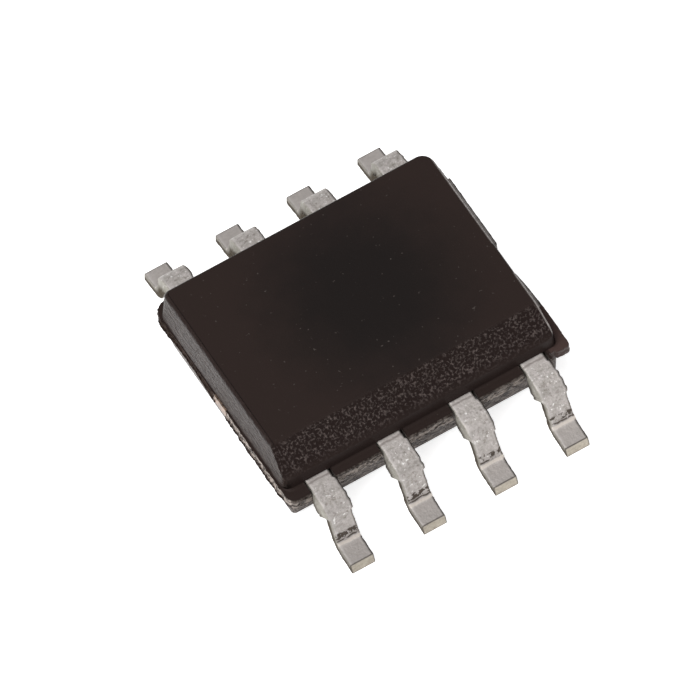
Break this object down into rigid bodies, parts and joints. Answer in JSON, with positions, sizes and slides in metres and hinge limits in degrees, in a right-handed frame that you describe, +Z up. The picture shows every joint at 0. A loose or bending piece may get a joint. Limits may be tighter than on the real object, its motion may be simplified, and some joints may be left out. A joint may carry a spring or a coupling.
{
  "type": "surface mount chip",
  "caption": "Small-outline surface mount chip: a black moulded body with a bevelled long edge and tinned gull-wing leads along both sides.",
  "frame": {"origin": "below the middle of the body, on the plane that the lead tips stand on", "axes": "+X along the body from lead 1 to lead 4, +Y away from the bevelled side, +Z up"},
  "size_m": [0.005, 0.0064, 0.0016],
  "materials": {
    "moulding": "matte filled epoxy",
    "lead_plating": "matte tin plate",
    "bare_copper": "bare copper alloy",
    "adhesive": "silver-filled epoxy",
    "silicon": "polished silicon",
    "gold_wire": "drawn gold"
  },
  "bodies": {
    "root": {"body": "moulding", "lead_1": "lead_plating", "lead_2": "lead_plating", "lead_3": "lead_plating", "lead_4": "lead_plating", "lead_5": "lead_plating", "lead_6": "lead_plating", "lead_7": "lead_plating", "lead_8": "lead_plating", "die_pad": "bare_copper", "die_attach": "adhesive", "die": "silicon", "bond_wire_1": "gold_wire", "bond_wire_2": "gold_wire", "bond_wire_3": "gold_wire", "bond_wire_4": "gold_wire", "bond_wire_5": "gold_wire", "bond_wire_6": "gold_wire", "bond_wire_7": "gold_wire", "bond_wire_8": "gold_wire"}
  },
  "joints": []
}
